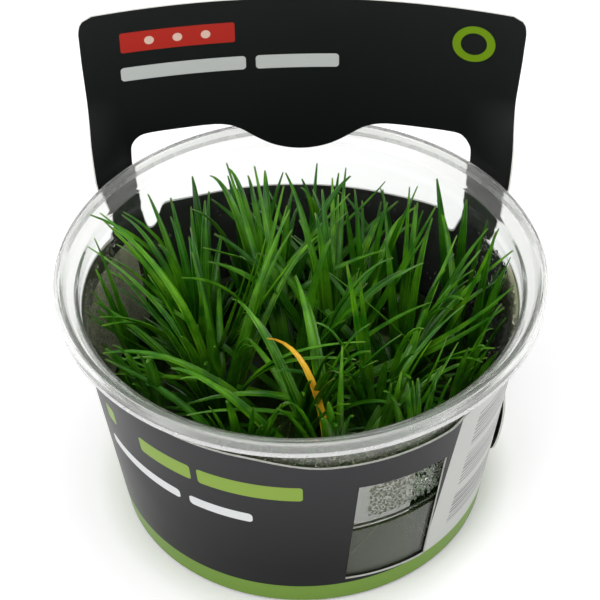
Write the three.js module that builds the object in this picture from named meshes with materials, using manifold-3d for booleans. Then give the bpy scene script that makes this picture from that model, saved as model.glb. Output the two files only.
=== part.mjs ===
// Tissue-cultured grassy rosettes in a clear cup with agar gel and a die-cut card sleeve.
// Millimetres, +Z up, origin at the bottom centre of the cup, header of the card at +Y.
import * as THREE from "three";
import { mergeVertices } from "three/addons/utils/BufferGeometryUtils.js";
import Module from "manifold-3d";

const wasm = await Module();
wasm.setup();

// Driving dimensions
const cupHeight = 59.4;
const rimR = 50.5;
const rimDrop = 4.1;
const wall = 0.8;
const gap = 0.3;
const cardThickness = 0.45;
const sleeveBottomZ = 0.8;
const sleeveBottomR = 40.1;
const sleeveFlare = 0.1262; // radius gained per millimetre of height
const floorZ = 1.8;
const footR = 38.7;
const shoulderZ = 51;
const ledgeZ = 56;
const gelTop = 22.5;
const crownZ = 24;
const leafRing = 1.7; // the leaves start on a ring of this radius round the crown's middle
const headerTop = 97.3;
const headerHalfWidth = 46.3;
const headerFrontY = 40.2; // the header's front face above the middle of the cup
const headerBow = 5; // how far the header curves back towards the front at its sides
const legAngle = 61.5; // where the header's legs leave the band, from the back, in degrees
const bandTop = 49.4;
const legTop = 48.5;
const cardTurn = 1.1; // the sleeve sits turned on the cup by this many degrees
const cardTilt = 0.0227; // and its header leans to the right, as a slope
const tiltPivotZ = 10;
const roundSteps = 40;

const degrees = Math.PI / 180;

// Outer face of the card sleeve at a height, and the cup wall inside it
const sleeveR = (z) => sleeveBottomR + sleeveFlare * (z - sleeveBottomZ);
const cardInnerR = (z) => sleeveR(z) - cardThickness;
const cupOuterR = (z) => cardInnerR(z) - gap;
const cupInnerR = (z) => cupOuterR(z) - wall;

const smooth = (t) => {
  const c = Math.min(Math.max(t, 0), 1);
  return c * c * (3 - 2 * c);
};
const mix = (a, b, t) => a + (b - a) * t;

// Repeatable random numbers, so that every build grows the same plants
function randomFrom(seed) {
  let state = seed >>> 0;
  return () => {
    state = (state + 0x6d2b79f5) >>> 0;
    let t = state;
    t = Math.imul(t ^ (t >>> 15), t | 1);
    t ^= t + Math.imul(t ^ (t >>> 7), t | 61);
    return ((t ^ (t >>> 14)) >>> 0) / 4294967296;
  };
}

// A closed geometry as a solid that can be joined and cut
function solidFrom(geometry) {
  const bare = new THREE.BufferGeometry();
  bare.setAttribute("position", geometry.getAttribute("position"));
  if (geometry.index) bare.setIndex(geometry.index);
  const merged = mergeVertices(bare, 1e-4);
  const triVerts = new Uint32Array(merged.index.array);
  const vertProperties = new Float32Array(merged.attributes.position.array);
  const solid = new wasm.Manifold(new wasm.Mesh({ numProp: 3, vertProperties, triVerts }));
  if (solid.volume() > 0) return solid;
  for (let i = 0; i < triVerts.length; i += 3) {
    [triVerts[i], triVerts[i + 1]] = [triVerts[i + 1], triVerts[i]];
  }
  return new wasm.Manifold(new wasm.Mesh({ numProp: 3, vertProperties, triVerts }));
}

function geometryFrom(solid) {
  const mesh = solid.getMesh();
  const geometry = new THREE.BufferGeometry();
  geometry.setAttribute("position", new THREE.BufferAttribute(mesh.vertProperties, 3));
  geometry.setIndex(new THREE.BufferAttribute(mesh.triVerts, 1));
  geometry.computeVertexNormals();
  return geometry;
}

// A profile of [radius, height] points turned about the Z axis
function turned(profile, steps) {
  const points = profile.map(([r, z]) => new THREE.Vector2(r, z));
  return solidFrom(new THREE.LatheGeometry(points, steps).rotateX(Math.PI / 2));
}

// A sheet of the given thickness, grown outwards from the quads of its inner face
function sheetSolid(points, quads, thickness) {
  const normals = points.map(() => new THREE.Vector3());
  const edges = new Map();
  for (const quad of quads) {
    const [a, b, c, d] = quad.map((i) => points[i]);
    const normal = new THREE.Vector3().subVectors(c, a).cross(new THREE.Vector3().subVectors(d, b));
    quad.forEach((i) => normals[i].add(normal));
    quad.forEach((i, k) => edges.set(`${i} ${quad[(k + 1) % 4]}`, [i, quad[(k + 1) % 4]]));
  }
  const outer = points.map((p, i) => p.clone().addScaledVector(normals[i].normalize(), thickness));
  const n = points.length;
  const index = [];
  for (const [a, b, c, d] of quads) {
    index.push(n + a, n + b, n + c, n + a, n + c, n + d);
    index.push(a, c, b, a, d, c);
  }
  for (const [i, j] of edges.values()) {
    if (!edges.has(`${j} ${i}`)) index.push(i, j, n + j, i, n + j, n + i);
  }
  const flat = [...points, ...outer].flatMap((p) => [p.x, p.y, p.z]);
  const geometry = new THREE.BufferGeometry();
  geometry.setAttribute("position", new THREE.Float32BufferAttribute(flat, 3));
  geometry.setIndex(index);
  return solidFrom(geometry);
}

// Cup: a tapered clear tub with a foot ring, a stacking shoulder, a lid ledge and a rolled rim
function cupSolid() {
  const skirtZ = cupHeight - rimDrop;
  const profile = [
    [0, 0.9],
    [footR - 2.1, 0.9],
    [footR - 1.4, 0],
    [footR, 0],
    [cupOuterR(0.9), 0.9],
    [cupOuterR(shoulderZ), shoulderZ],
    [cupOuterR(shoulderZ) + 0.75, shoulderZ + 1.2],
    [46.5, skirtZ],
    [48.4, skirtZ + 0.8],
    [49.3, 58.3],
    [49.6, 58.6],
    [49.9, 58.3],
    [rimR - 0.6, skirtZ],
    [rimR, skirtZ],
    [rimR, 58.5],
    [50.2, 59.1],
    [49.7, cupHeight],
    [49.2, cupHeight - 0.1],
    [48.7, 58.8],
    [47.9, ledgeZ + 0.8],
    [45.7, ledgeZ],
    [cupInnerR(shoulderZ) + 0.7, shoulderZ + 1.4],
    [cupInnerR(shoulderZ), shoulderZ],
    [cupInnerR(3.2), 3.2],
    [cupInnerR(3.2) - 0.5, 2.2],
    [footR - 2.2, floorZ],
    [0, floorZ],
  ];
  return turned(profile, roundSteps);
}

// Where the header leans: across and up along the card, to X and Z
const headerX = (across, up) => across + (up - tiltPivotZ) * cardTilt;
const headerZ = (across, up) => up - across * cardTilt;

// The legs bend outwards, from the cup wall to just outside the rim
const legR = (z) => mix(cardInnerR(z), rimR + 1, smooth((z - 47.6) / 7));

// The header's front face: it hugs the rim low down and flattens towards its top
function headerY(across, up) {
  const x = headerX(across, up);
  const hug = Math.sqrt(Math.max(legR(headerZ(across, up)) ** 2 - x ** 2, 1));
  const panel = headerFrontY - headerBow * (x / 42) ** 2;
  const spread = Math.max(0.8 - Math.abs(panel - hug), 0) / 0.8;
  const near = Math.min(panel, hug) - spread * spread * 0.1;
  const low = mix(hug, near, smooth((up - legTop) / 6));
  return mix(low, panel, smooth((up - 58) / 18));
}

// How far up the band's top edge reaches, by angle from the front towards the right
function bandTopAt(front) {
  const fromLeg = 180 - legAngle - Math.abs(front);
  const beside = (legTop - bandTop) * (1 - smooth(fromLeg / 20));
  const dip = 2.3 * smooth((front + 14) / 22) * (1 - smooth((front - 40) / 8));
  return bandTop + beside - dip;
}

// The header's rows: height along the card, and half width there
const headerRows = [
  [50, 41.4],
  [52, 42.7],
  [54, 43.6],
  [56, 44],
  [58.5, 44.3],
  [62, 44.6],
  [67, 45.1],
  [75, 45.6],
  [86, 46.1],
  [93.6, headerHalfWidth],
  [95.6, 45.9],
  [96.7, 45],
  [headerTop, 43.4],
];

function cardBlank() {
  const headerColumns = 20;
  const bandColumns = 40;
  const points = [];
  const columns = [];
  const add = (x, y, z) => points.push(new THREE.Vector3(x, y, z)) - 1;
  const onBand = (angle, r, z) => add(r * Math.sin(angle), r * Math.cos(angle), z);
  for (let i = 0; i <= headerColumns; i++) {
    const share = (2 * i) / headerColumns - 1;
    const angle = (share * legAngle + cardTurn) * degrees;
    const topZ = legTop - sleeveR(legTop) * Math.sin(angle) * cardTilt;
    const column = [sleeveBottomZ, 44].map((z) => onBand(angle, cardInnerR(z), z));
    column.push(onBand(angle, legR(topZ), topZ));
    for (const [up, halfWidth] of headerRows) {
      const across = share * halfWidth;
      const height = up - 1.1 * share * share * smooth((up - 60) / 30);
      column.push(add(headerX(across, height), headerY(across, height), headerZ(across, height)));
    }
    columns.push(column);
  }
  for (let i = 1; i < bandColumns; i++) {
    const turn = mix(legAngle, 360 - legAngle, i / bandColumns) + cardTurn;
    const angle = turn * degrees;
    const lean = sleeveR(bandTop) * Math.sin(angle) * cardTilt;
    const topZ = bandTopAt(180 - turn + cardTurn) - lean;
    columns.push([sleeveBottomZ, 44, topZ].map((z) => onBand(angle, cardInnerR(z), z)));
  }
  const quads = [];
  columns.forEach((column, i) => {
    const next = columns[(i + 1) % columns.length];
    const rows = Math.min(column.length, next.length) - 1;
    for (let k = 0; k < rows; k++) quads.push([column[k], column[k + 1], next[k + 1], next[k]]);
  });
  return sheetSolid(points, quads, cardThickness);
}

// The hand hole: half of its outline as [across, up], from the tongue's tip to the band's top edge
const handHole = [
  [0, 58.5],
  [3, 58.8],
  [5.8, 59.6],
  [8.2, 60.8],
  [10.6, 62.4],
  [12.8, 64],
  [15.2, 65.2],
  [18.8, 65.8],
  [26, 65.5],
  [33, 65.1],
  [35.3, 64.4],
  [36.7, 62.8],
  [37.1, 60.8],
  [37, 56],
  [36.2, 51],
  [34.9, 46.4],
  [34.2, 44.2],
  [33.3, 43.6],
  [32.4, 44.1],
  [31.8, 45.8],
  [31.2, 47],
  [30.2, 47.3],
  [27, 46.6],
  [22, 45.6],
  [15, 44.9],
  [8, 44.5],
  [0, 44.3],
];

// A flat outline pushed through the card, standing upright
function throughCut(outline, depth) {
  const shape = new THREE.Shape(outline.map(([x, z]) => new THREE.Vector2(x, z)));
  const geometry = new THREE.ExtrudeGeometry(shape, { depth, bevelEnabled: false });
  return geometry.rotateX(Math.PI / 2);
}

function handHoleCut() {
  const right = handHole.map(([across, up]) => [headerX(across, up), headerZ(across, up)]);
  const left = handHole
    .slice(1, -1)
    .reverse()
    .map(([across, up]) => [headerX(-across, up), headerZ(-across, up)]);
  return solidFrom(throughCut([...right, ...left], 40).translate(0, 60, 0));
}

// The window in the front of the band, a slightly slanted rectangle
const windowTurn = 25;
const windowOutline = [
  [-9.4, 39.4],
  [10.5, 38],
  [8.6, 5.6],
  [-10.1, 7.4],
];

function windowCut() {
  const cut = throughCut(windowOutline, 30).translate(0, -25, 0);
  return solidFrom(cut.rotateZ(windowTurn * degrees));
}

// The loose end of the sleeve, an arc-cut tab that lifts off the band on the right side
function lapTab() {
  const rooted = 118;
  const tip = 84;
  const middleZ = 13.5;
  const halfHeight = 12;
  const lift = 2;
  const columns = 5;
  const rows = 10;
  const points = [];
  for (let i = 0; i <= columns; i++) {
    for (let k = 0; k <= rows; k++) {
      const level = (2 * k) / rows - 1;
      const edge = Math.sqrt(1 - level ** 4);
      const front = mix(rooted, mix(rooted - 12, tip, edge), i / columns);
      const z = middleZ + level * halfHeight;
      const off = 0.15 + lift * (1 - level * level) ** 0.6 * (i / columns) ** 1.6;
      const r = cardInnerR(z) + off;
      const a = front * degrees;
      points.push(new THREE.Vector3(r * Math.sin(a), -r * Math.cos(a), z));
    }
  }
  const quads = [];
  const at = (i, k) => i * (rows + 1) + k;
  for (let i = 0; i < columns; i++) {
    for (let k = 0; k < rows; k++) quads.push([at(i, k), at(i, k + 1), at(i + 1, k + 1), at(i + 1, k)]);
  }
  return sheetSolid(points, quads, cardThickness);
}

function sleeveCardSolid() {
  return cardBlank().add(lapTab()).subtract(handHoleCut()).subtract(windowCut());
}

// A rosette's crown: a short tapering stock, its lower half sunk in the gel
function crownProfile(grow) {
  return [
    [0, 13 - grow],
    [1 + grow, 14],
    [2.2 + grow, 19],
    [2.8 + grow, crownZ - 1],
    [2.1 + grow, crownZ + 1.4],
    [0, crownZ + 2 + grow],
  ];
}
const crownAt = ([x, y], grow) => turned(crownProfile(grow), 8).translate([x, y, 0]);

// Gel: a clear disc that fills the bottom of the cup, with a pocket around each crown
function gelSolid(places) {
  const bottomZ = floorZ + gap;
  const inset = gap + 0.05;
  const disc = turned(
    [
      [0, bottomZ],
      [cupInnerR(3.2) - 1.1, bottomZ],
      [cupInnerR(3.4) - inset, 3.4],
      [cupInnerR(gelTop + 0.8) - inset, gelTop + 0.8],
      [cupInnerR(gelTop) - 2.5, gelTop],
      [0, gelTop],
    ],
    roundSteps,
  );
  return places.reduce((gel, place) => gel.subtract(crownAt(place, gap)), disc);
}

// One leaf: a tapering blade with a shallow keel, arching from the crown to its tip.
// lean is how soon it bends away from upright, rise how high it climbs first.
function leafSolid(place, { tip, lean, rise, width }, grow) {
  const to = new THREE.Vector3(...tip);
  const heading = Math.atan2(to.y - place[1], to.x - place[0]);
  const x = place[0] + leafRing * Math.cos(heading);
  const from = new THREE.Vector3(x, place[1] + leafRing * Math.sin(heading), crownZ - 0.6);
  const middle = new THREE.Vector3(mix(from.x, to.x, lean), mix(from.y, to.y, lean), from.z + rise);
  const path = new THREE.QuadraticBezierCurve3(from, middle, to);
  const steps = 4;
  const points = [];
  for (let i = 0; i < steps; i++) {
    const t = i / steps;
    const centre = path.getPoint(t);
    const along = path.getTangent(t);
    const side = new THREE.Vector3(along.y, -along.x, 0);
    if (side.lengthSq() < 1e-6) side.set(1, 0, 0);
    side.normalize();
    const face = new THREE.Vector3().crossVectors(side, along).normalize();
    const half = (width / 2) * (1 - 0.72 * t ** 2.2) + grow;
    points.push(centre.clone().addScaledVector(side, half).addScaledVector(face, 0.12 + grow));
    points.push(centre.clone().addScaledVector(face, -0.33 - grow));
    points.push(centre.clone().addScaledVector(side, -half).addScaledVector(face, 0.12 + grow));
  }
  points.push(path.getPoint(1));
  const index = [0, 1, 2];
  for (let i = 0; i < steps - 1; i++) {
    for (let k = 0; k < 3; k++) {
      const a = 3 * i + k;
      const b = 3 * i + ((k + 1) % 3);
      index.push(a, a + 3, b + 3, a, b + 3, b);
    }
  }
  const last = 3 * (steps - 1);
  for (let k = 0; k < 3; k++) index.push(last + k, 3 * steps, last + ((k + 1) % 3));
  const geometry = new THREE.BufferGeometry();
  const flat = points.flatMap((p) => [p.x, p.y, p.z]);
  geometry.setAttribute("position", new THREE.Float32BufferAttribute(flat, 3));
  geometry.setIndex(index);
  return solidFrom(geometry);
}

// The rosettes: where each crown stands, and its outer leaves as
// [tip x, tip y, tip z, lean, rise, width]. The shorter inner leaves are grown from the seed.
const rosettes = [
  {
    place: [-21, 6],
    young: 5,
    leaves: [
      [-43, 12, 63, 0.08, 42, 2.3],
      [-41, 15, 61, 0.15, 40, 1.9],
      [-40, 17, 59, 0.2, 36, 1.8],
      [-43, 8, 57, 0.36, 33, 2],
      [-40, 1, 55, 0.4, 28, 1.7],
      [-23, 27, 54, 0.33, 34, 1.8],
      [-20, 18, 50, 0.3, 34, 1.6],
      [-24, -7, 62, 0.45, 29, 2],
      [-39, -13, 54, 0.45, 28, 2.7],
      [-30, 22, 44, 0.4, 24, 1.7],
      [-19, 12, 60, 0.3, 34, 1.7],
    ],
  },
  {
    place: [-17, -10],
    young: 5,
    leaves: [
      [-41, -11, 55, 0.5, 22, 2.4],
      [-39, -17, 50, 0.5, 27, 2],
      [-38, -20, 46, 0.5, 24, 1.6],
      [-37, -22, 44, 0.5, 14, 2.1],
      [-25, -33, 50, 0.5, 24, 1.8],
      [-24, -35, 44, 0.4, 20, 1.6],
      [-18, 8, 46, 0.3, 26, 1.2],
      [-13, -14, 60, 0.5, 33, 1.9],
      [-9, 4, 62, 0.5, 28, 2.2],
      [-30, -2, 62, 0.4, 34, 2],
    ],
  },
  {
    place: [-6, 14],
    young: 5,
    leaves: [
      [-19, 34, 55, 0.4, 31, 1.8],
      [-15, 35, 59, 0.35, 35, 1.9],
      [-10, 34, 58, 0.2, 38, 1.8],
      [-7, 31, 62, 0.27, 40, 1.8],
      [-4, 27, 60, 0.6, 30, 1.8],
      [-24, 19, 57, 0.45, 29, 1.8],
      [-1, 25, 55, 0.5, 25, 1.9],
      [8, 32, 50, 0.5, 26, 1.6],
    ],
  },
  {
    place: [-2, -3],
    young: 5,
    leaves: [
      [-13, 18, 66, 0.45, 33, 1.8],
      [0, 12, 68, 0.4, 30, 1.9],
      [-1, -4, 66, 0.6, 28, 2],
      [16, 10, 55, 0.43, 28, 2.1],
      [10, 17, 63, 0.4, 33, 1.8],
      [12, -17, 54, 0.4, 28, 1.8],
      [-19, 6, 57, 0.4, 30, 1.7],
      [-14, -18, 56, 0.45, 28, 1.8],
      [9, -10, 66, 0.6, 26, 1.9],
    ],
  },
  {
    place: [-1, -19],
    young: 5,
    leaves: [
      [-13, -27, 60, 0.5, 31, 1.8],
      [-8, -30, 60, 0.4, 24, 1.7],
      [-22, -34, 48, 0.45, 24, 1.7],
      [-26, -28, 52, 0.5, 26, 2],
      [6, -34, 56, 0.6, 26, 1.2],
      [1, -37, 48, 0.4, 22, 1.7],
      [3, -16, 61, 0.5, 30, 2],
      [11, -32, 50, 0.5, 24, 1.8],
    ],
  },
  {
    place: [14, 13],
    young: 5,
    leaves: [
      [9, 30, 60, 0.6, 33, 2],
      [20, 35, 54, 0.5, 27, 1.9],
      [26, 32, 50, 0.2, 38, 1.8],
      [24, 14, 67, 0.6, 34, 1.9],
      [28, 8, 66, 0.6, 31, 1.9],
      [24, 24, 60, 0.5, 30, 1.8],
      [31, 20, 58, 0.6, 26, 1.7],
      [14, 20, 62, 0.5, 34, 1.8],
      [36, 12, 52, 0.5, 26, 1.8],
    ],
  },
  {
    place: [21, -1],
    young: 5,
    leaves: [
      [31, -5, 67, 0.6, 32, 1.9],
      [40, 3, 62, 0.6, 26, 1.8],
      [42, 3, 56, 0.37, 31, 2.8],
      [41, -12, 58, 0.5, 26, 2.2],
      [35, -7, 64, 0.5, 31, 2.5],
      [36, -20, 56, 0.5, 26, 2.2],
      [38, -19, 50, 0.5, 24, 2.2],
      [33, 10, 60, 0.5, 30, 1.8],
      [13, -8, 62, 0.4, 32, 1.8],
    ],
  },
  {
    place: [15, -17],
    young: 5,
    leaves: [
      [11, -22, 64, 0.7, 34, 2.3],
      [24, -33, 56, 0.5, 27, 1.2],
      [34, -25, 50, 0.5, 24, 2],
      [32, -28, 44, 0.5, 20, 2],
      [14, -38, 48, 0.4, 24, 1.7],
      [22, -24, 58, 0.5, 28, 1.8],
      [3, -31, 50, 0.45, 26, 1.8],
      [28, -18, 60, 0.5, 30, 2],
    ],
  },
];

// The shorter leaves that fill a rosette, spread round it by the golden angle
function youngLeaves(place, count, random) {
  const leaves = [];
  for (let i = 0; i < count; i++) {
    const heading = i * 137.5 * degrees + random() * 0.9;
    const reach = 7 + 9 * random();
    const x = place[0] + reach * Math.cos(heading);
    const y = place[1] + reach * Math.sin(heading);
    const limit = Math.min(1, 36 / Math.hypot(x, y));
    leaves.push({
      tip: [x * limit, y * limit, crownZ + 16 + 18 * random()],
      lean: 0.25 + 0.3 * random(),
      rise: 17 + 9 * random(),
      width: 1.4 + 0.6 * random(),
    });
  }
  return leaves;
}

// The same leaf turned a little about its crown, and raised, to find a free way past its neighbours
function nudged(leaf, place, turn, raise) {
  const dx = leaf.tip[0] - place[0];
  const dy = leaf.tip[1] - place[1];
  const c = Math.cos(turn * degrees);
  const s = Math.sin(turn * degrees);
  const tip = [place[0] + c * dx - s * dy, place[1] + s * dx + c * dy, leaf.tip[2] + raise];
  return { ...leaf, tip };
}
const nudges = [
  [0, 0],
  [4, 0.5],
  [-4, 0.5],
  [8, -1],
  [-8, -1],
  [12, 1],
  [-12, 1],
];

// A leaf that finds no free way ends where it meets a neighbour. room is the leaf with the gap round it.
function freeLeaf(leaf, place, taken) {
  for (const [turn, raise] of nudges) {
    const moved = nudged(leaf, place, turn, raise);
    const blade = leafSolid(place, moved, 0);
    if (!taken || blade.intersect(taken).volume() < 1e-5) return { blade, room: leafSolid(place, moved, gap) };
  }
  const pieces = leafSolid(place, leaf, 0).subtract(taken).decompose();
  const lowest = (piece) => piece.boundingBox().min[2];
  const blade = pieces.sort((a, b) => lowest(a) - lowest(b))[0];
  return { blade, room: leafSolid(place, leaf, gap) };
}

function growRosettes() {
  const random = randomFrom(41);
  const grown = [];
  let taken = null;
  for (const { place, young, leaves } of rosettes) {
    const outer = leaves.map(([x, y, z, lean, rise, width]) => ({ tip: [x, y, z], lean, rise, width }));
    let plant = crownAt(place, 0);
    let around = crownAt(place, gap);
    for (const leaf of [...outer, ...youngLeaves(place, young, random)]) {
      const { blade, room } = freeLeaf(leaf, place, taken);
      plant = plant.add(blade);
      around = around.add(room);
    }
    taken = taken ? taken.add(around) : around;
    grown.push(plant);
  }
  return grown;
}

const materials = {
  clearPlastic: new THREE.MeshStandardMaterial({ color: 0xe8ecec, roughness: 0.1, metalness: 0 }),
  printedCard: new THREE.MeshStandardMaterial({ color: 0x2b2d2d, roughness: 0.45, metalness: 0 }),
  agar: new THREE.MeshStandardMaterial({ color: 0xb9b998, roughness: 0.2, metalness: 0 }),
  leaf: new THREE.MeshStandardMaterial({ color: 0x2e8514, roughness: 0.4, metalness: 0 }),
};

const group = new THREE.Group();
function addPiece(name, solid, material) {
  const mesh = new THREE.Mesh(geometryFrom(solid), material);
  mesh.name = name;
  group.add(mesh);
}

addPiece("cup", cupSolid(), materials.clearPlastic);
addPiece("sleeve_card", sleeveCardSolid(), materials.printedCard);
addPiece("agar_gel", gelSolid(rosettes.map(({ place }) => place)), materials.agar);
growRosettes().forEach((plant, i) => addPiece(`rosette_${i + 1}`, plant, materials.leaf));

export default group;
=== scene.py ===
# Tissue-cultured grassy rosettes in a clear cup, wrapped by a die-cut card sleeve
import math
import random

import bpy
from mathutils import Matrix, Vector


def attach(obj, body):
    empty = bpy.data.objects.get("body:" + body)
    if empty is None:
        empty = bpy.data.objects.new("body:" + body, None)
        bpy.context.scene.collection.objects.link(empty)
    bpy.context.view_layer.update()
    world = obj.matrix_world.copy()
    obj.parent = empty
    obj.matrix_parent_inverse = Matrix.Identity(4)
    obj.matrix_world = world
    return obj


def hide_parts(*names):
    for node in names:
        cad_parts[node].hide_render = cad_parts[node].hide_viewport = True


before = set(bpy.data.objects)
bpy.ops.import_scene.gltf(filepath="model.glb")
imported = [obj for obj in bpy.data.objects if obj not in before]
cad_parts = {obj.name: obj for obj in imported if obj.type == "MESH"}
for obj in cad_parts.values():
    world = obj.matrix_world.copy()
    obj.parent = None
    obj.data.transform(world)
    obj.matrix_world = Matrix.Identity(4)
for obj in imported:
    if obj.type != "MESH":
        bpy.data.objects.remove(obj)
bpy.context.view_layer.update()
mm = 0.001

# Camera at the photograph's angle, in millimetres and degrees
viewpoint = {
    "place": (-4.24, -278.49, 300.73),
    "down": 42.065,
    "aside": 0.837,
    "roll": -1.002,
    "lens": 108,
}


def aimCamera():
    down = math.radians(viewpoint["down"])
    aside = math.radians(viewpoint["aside"])
    roll = math.radians(viewpoint["roll"])
    flat = math.cos(down)
    forward = Vector((math.sin(aside) * flat, math.cos(aside) * flat, -math.sin(down)))
    level = Vector((math.cos(aside), -math.sin(aside), 0))
    above = level.cross(forward)
    right = level * math.cos(roll) + above * math.sin(roll)
    up = above * math.cos(roll) - level * math.sin(roll)
    bpy.ops.object.camera_add()
    camera = bpy.context.object
    camera.name = "studioCamera"
    camera.data.lens = viewpoint["lens"]
    camera.data.clip_start = 0.01
    turn = Matrix((right, up, -forward)).transposed().to_4x4()
    camera.matrix_world = Matrix.Translation(Vector(viewpoint["place"]) * mm) @ turn
    bpy.context.scene.camera = camera


aimCamera()
print("camera set")


# Small helpers
def smooth(t):
    c = min(max(t, 0), 1)
    return c * c * (3 - 2 * c)


def mix(a, b, t):
    return a + (b - a) * t


def clearSelection():
    if bpy.context.object and bpy.context.object.mode != "OBJECT":
        bpy.ops.object.mode_set(mode="OBJECT")
    bpy.ops.object.select_all(action="DESELECT")


def pick(piece):
    clearSelection()
    piece.select_set(True)
    bpy.context.view_layer.objects.active = piece


def applyModifier(piece, kind, **settings):
    pick(piece)
    modifier = piece.modifiers.new(kind.lower(), kind)
    for key, value in settings.items():
        setattr(modifier, key, value)
    bpy.ops.object.modifier_apply(modifier=modifier.name)


def smoothShading(piece, angle):
    pick(piece)
    bpy.ops.object.shade_smooth_by_angle(angle=math.radians(angle))


# The mesh in edit mode gets its faces turned outwards and goes back to object mode
def turnFacesOut():
    bpy.ops.mesh.select_all(action="SELECT")
    bpy.ops.mesh.normals_make_consistent(inside=False)
    bpy.ops.object.mode_set(mode="OBJECT")


def pieceFrom(name, points, faces):
    mesh = bpy.data.meshes.new(name)
    mesh.from_pydata(points, [], faces)
    piece = bpy.data.objects.new(name, mesh)
    bpy.context.collection.objects.link(piece)
    return piece


def linear(hexColour):
    parts = [int(hexColour[i : i + 2], 16) / 255 for i in (1, 3, 5)]
    return [p / 12.92 if p <= 0.04045 else ((p + 0.055) / 1.055) ** 2.4 for p in parts] + [1]


# Constants are set on a node's inputs, and sockets are linked to them. A node given as an input
# is linked by its first output
def setInputs(node, inputs):
    for key, value in inputs.items():
        if isinstance(value, bpy.types.Node):
            value = value.outputs[0]
        if isinstance(value, bpy.types.NodeSocket):
            node.id_data.links.new(value, node.inputs[key])
        else:
            node.inputs[key].default_value = value


def addNode(tree, kind, inputs=None, **settings):
    node = tree.nodes.new("ShaderNode" + kind)
    for key, value in settings.items():
        setattr(node, key, value)
    setInputs(node, inputs or {})
    return node


def startMaterial(name, **constants):
    material = bpy.data.materials.new(name)
    material.use_nodes = True
    shader = material.node_tree.nodes["Principled BSDF"]
    setInputs(shader, {key.replace("_", " "): value for key, value in constants.items()})
    return material, material.node_tree, shader


# The shape of the cup and of the sleeve round it, in millimetres
cupShape = {
    "height": 59.4,
    "rimR": 50.5,
    "rimDrop": 4.1,
    "wall": 0.8,
    "gap": 0.3,
    "footR": 38.7,
    "footZ": 0.9,  # the base is raised this much on its foot ring
    "floorZ": 1.8,
    "floorEdgeZ": 3.2,  # where the wall starts to curve in to the floor
    "shoulderZ": 51,
    "ledgeZ": 56,
    "rolledAbove": 54.8,
    "steps": 144,
}
sleeveShape = {
    "thickness": 0.45,
    "bottomZ": 0.8,
    "bottomR": 40.1,
    "flare": 0.1262,  # radius gained per millimetre of height
    "bandTop": 49.4,
    "legTop": 48.5,
    "legAngle": 61.5,  # where the legs leave the band, from the back, in degrees
    "turn": 1.1,  # the sleeve sits turned on the cup by this many degrees
    "tilt": 0.0227,  # and its header leans to the right, as a slope
    "headerTop": 97.3,
    "headerFrontY": 40.2,
    "headerBow": 5,
    "headerFrom": 49.5,
    "headerFlat": (58, 18),  # it flattens from this height, over so many millimetres
    "droop": (1.1, 60, 30),  # its top corners hang this much lower, from this height, over so many
    "legSpread": (47.6, 7),  # the legs go out past the rim from this height, over so many
    "dip": (2.3, -14, 22, 40, 8),  # the band's dip: depth, start and its run, end and its run
}


def sleeveR(z):
    return sleeveShape["bottomR"] + sleeveShape["flare"] * (z - sleeveShape["bottomZ"])


def cardInnerR(z):
    return sleeveR(z) - sleeveShape["thickness"]


def cupOuterR(z):
    return cardInnerR(z) - cupShape["gap"]


def cupInnerR(z):
    return cupOuterR(z) - cupShape["wall"]


# A profile whose corners are short arcs
def roundCorners(profile, reach, steps=2):
    points = [Vector(p) for p in profile]
    rounded = [points[0]]
    for before, corner, after in zip(points, points[1:], points[2:]):
        ins = min(reach, 0.45 * (before - corner).length)
        outs = min(reach, 0.45 * (after - corner).length)
        start = corner + (before - corner).normalized() * ins
        end = corner + (after - corner).normalized() * outs
        for i in range(steps + 1):
            t = i / steps
            rounded.append(start * (1 - t) ** 2 + corner * 2 * t * (1 - t) + end * t * t)
    return rounded + [points[-1]]


# A piece turned about the Z axis: a disc whose edge is extruded along the profile
def turnedPiece(name, profile, steps):
    clearSelection()
    radius, height = profile[1]
    bpy.ops.mesh.primitive_circle_add(
        vertices=steps,
        radius=radius * mm,
        fill_type="TRIFAN",
        location=(0, 0, height * mm),
        enter_editmode=True,
    )
    bpy.ops.mesh.select_all(action="SELECT")
    bpy.ops.mesh.region_to_loop()
    for r, z in profile[2:-1]:
        bpy.ops.mesh.extrude_edges_move(TRANSFORM_OT_translate={"value": (0, 0, (z - height) * mm)})
        bpy.ops.transform.resize(value=(r / radius, r / radius, 1), center_override=(0, 0, z * mm))
        radius, height = r, z
    last = (0, 0, (profile[-1][1] - height) * mm)
    bpy.ops.mesh.extrude_edges_move(TRANSFORM_OT_translate={"value": last})
    bpy.ops.mesh.merge(type="CENTER")
    turnFacesOut()
    piece = bpy.context.object
    piece.name = name
    bpy.ops.object.transform_apply(location=True, rotation=True, scale=True)
    return piece


def finishPiece(piece, materials, nodes=()):
    piece.data.materials.clear()
    for material in materials:
        piece.data.materials.append(material)
    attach(piece, "root")
    if nodes:
        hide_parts(*nodes)


# Gloss that varies in soft patches, between two roughnesses
def patchyGloss(tree, shader, place, scale, detail, low, high, weakest=0, strongest=1):
    patches = addNode(tree, "TexNoise", {"Vector": place, "Scale": scale, "Detail": detail})
    span = {"From Min": weakest, "From Max": strongest, "To Min": low, "To Max": high}
    setInputs(shader, {"Roughness": addNode(tree, "MapRange", {"Value": patches, **span})})


# A surface that waves softly, by so many metres
def ripples(tree, shader, place, scale, detail, strength, height):
    waves = addNode(tree, "TexNoise", {"Vector": place, "Scale": scale, "Detail": detail})
    bump = addNode(tree, "Bump", {"Height": waves, "Strength": strength, "Distance": height})
    setInputs(shader, {"Normal": bump})


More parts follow.
